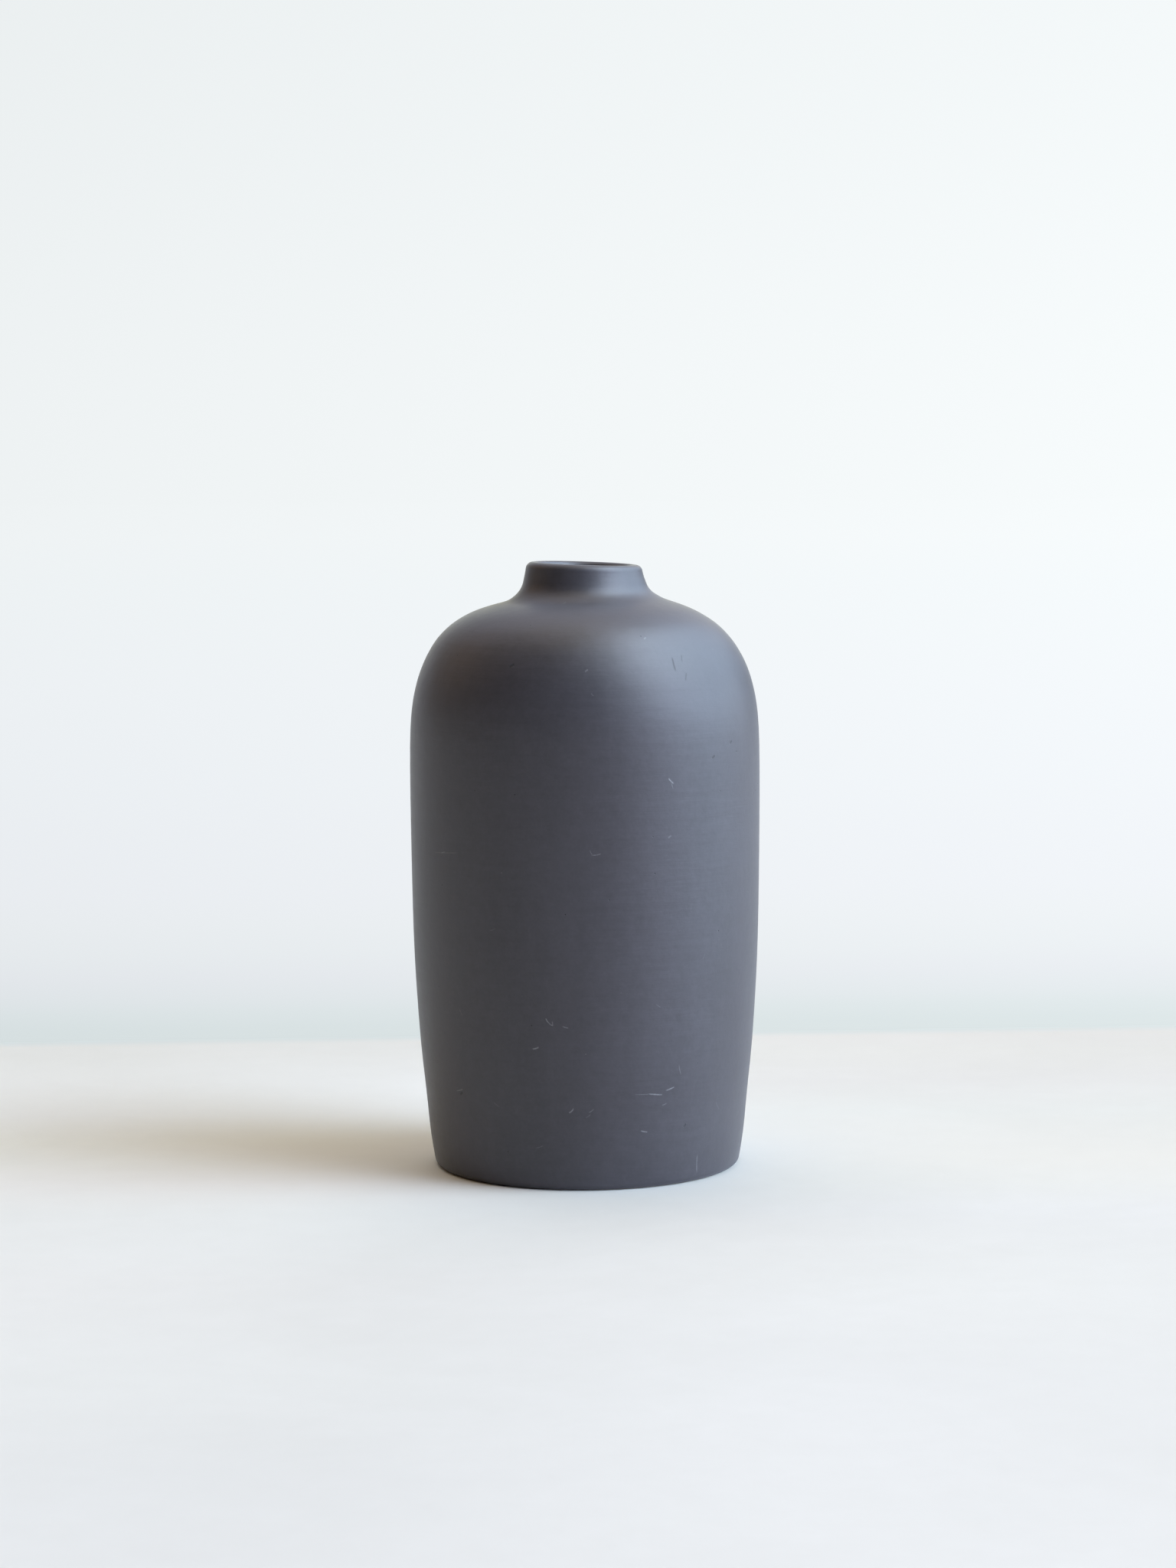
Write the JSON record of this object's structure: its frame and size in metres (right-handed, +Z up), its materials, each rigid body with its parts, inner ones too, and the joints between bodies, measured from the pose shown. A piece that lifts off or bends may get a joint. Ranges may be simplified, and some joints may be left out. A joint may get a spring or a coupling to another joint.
{
  "type": "vase",
  "caption": "Stoneware bottle vase: tall near-cylindrical body, rounded shoulder, short narrow neck and turned foot, satin charcoal outside and glossy inside.",
  "frame": {"origin": "middle of the foot, on the plane that the vase stands on", "axes": "+Z up through the mouth; the lip dips slightly on its +X side"},
  "size_m": [0.1448, 0.1448, 0.2508],
  "materials": {
    "bare_stoneware": "unglazed fired stoneware, fine and slightly sandy",
    "satin_charcoal_glaze": "smooth satin-matte charcoal glaze with fine specks",
    "gloss_liner_glaze": "gloss liner glaze with soft throwing ripples"
  },
  "bodies": {
    "root": {"stoneware_body": "bare_stoneware", "outer_glaze": "satin_charcoal_glaze", "liner_glaze": "gloss_liner_glaze", "base_glaze": "satin_charcoal_glaze"}
  },
  "joints": []
}
